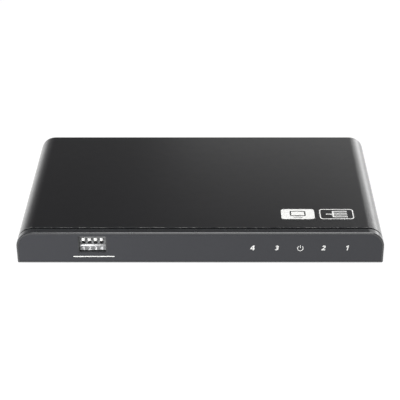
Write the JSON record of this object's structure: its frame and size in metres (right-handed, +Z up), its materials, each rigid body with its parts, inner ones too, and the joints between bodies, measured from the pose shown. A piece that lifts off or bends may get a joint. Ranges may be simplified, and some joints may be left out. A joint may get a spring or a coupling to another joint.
{
  "type": "video splitter",
  "caption": "Slim black desktop video splitter with a slide switch and light signs in front, and video sockets and a power inlet behind.",
  "frame": {"origin": "centre of the footprint, on the surface that the feet stand on", "axes": "+X to the right of the front face, +Y to the rear, +Z up"},
  "size_m": [0.155, 0.088, 0.016],
  "materials": {
    "black_cover_paint": "satin",
    "black_bezel_plastic": "satin",
    "front_film": "satin",
    "black_zinc_screws": "satin",
    "rubber_black": "matte",
    "brass_inserts": "satin",
    "bright_steel": "satin",
    "board_mask": "satin",
    "socket_steel": "satin",
    "tongue_plastic": "matte",
    "contact_gold": "gloss",
    "switch_plastic": "satin",
    "white_knobs": "matte",
    "clear_guide": "gloss",
    "foam_black": "matte",
    "lamp_white": "satin",
    "chip_black": "matte",
    "pad_grey": "matte",
    "black_anodised": "satin",
    "ceramic_tan": "matte"
  },
  "bodies": {
    "housing": {"top_cover": "black_cover_paint", "base_tray": "black_cover_paint", "rear_panel": "black_cover_paint", "front_bezel": "black_bezel_plastic", "front_overlay": "front_film", "cover_screws": "black_zinc_screws", "rubber_feet": "rubber_black", "board_standoffs": "brass_inserts", "board_screws": "bright_steel", "main_board": "board_mask", "input_socket_shell": "socket_steel", "input_socket_tongue": "tongue_plastic", "input_socket_contacts": "contact_gold", "output_socket_1_shell": "socket_steel", "output_socket_1_tongue": "tongue_plastic", "output_socket_1_contacts": "contact_gold", "output_socket_2_shell": "socket_steel", "output_socket_2_tongue": "tongue_plastic", "output_socket_2_contacts": "contact_gold", "output_socket_3_shell": "socket_steel", "output_socket_3_tongue": "tongue_plastic", "output_socket_3_contacts": "contact_gold", "output_socket_4_shell": "socket_steel", "output_socket_4_tongue": "tongue_plastic", "output_socket_4_contacts": "contact_gold", "power_jack_body": "tongue_plastic", "power_jack_pin": "bright_steel", "power_jack_spring": "bright_steel", "power_jack_switch_leaf": "bright_steel", "dip_switch_body": "switch_plastic", "dip_switch_base": "switch_plastic", "dip_switch_terminals": "bright_steel", "light_guide": "clear_guide", "light_seal": "foam_black", "indicator_leds": "lamp_white", "splitter_chip": "chip_black", "controller_chip": "chip_black", "memory_chip": "chip_black", "regulator_chips": "chip_black", "surge_arrays": "chip_black", "power_inductor": "chip_black", "termination_resistors": "chip_black", "thermal_pad": "pad_grey", "chip_heatsink": "black_anodised", "crystal_can": "bright_steel", "filter_capacitors": "bright_steel", "ceramic_capacitors": "ceramic_tan"},
    "knob_1": {"dip_slider_1": "white_knobs", "dip_wiper_1": "contact_gold"},
    "knob_2": {"dip_slider_2": "white_knobs", "dip_wiper_2": "contact_gold"},
    "knob_3": {"dip_slider_3": "white_knobs", "dip_wiper_3": "contact_gold"},
    "knob_4": {"dip_slider_4": "white_knobs", "dip_wiper_4": "contact_gold"}
  },
  "joints": [
    {"name": "knob_1_slide", "type": "slide", "parent": "housing", "child": "knob_1", "axis": [0, 0, -1], "range_m": [0, 0.002]},
    {"name": "knob_2_slide", "type": "slide", "parent": "housing", "child": "knob_2", "axis": [0, 0, -1], "range_m": [0, 0.002]},
    {"name": "knob_3_slide", "type": "slide", "parent": "housing", "child": "knob_3", "axis": [0, 0, -1], "range_m": [0, 0.002]},
    {"name": "knob_4_slide", "type": "slide", "parent": "housing", "child": "knob_4", "axis": [0, 0, -1], "range_m": [0, 0.002]}
  ]
}
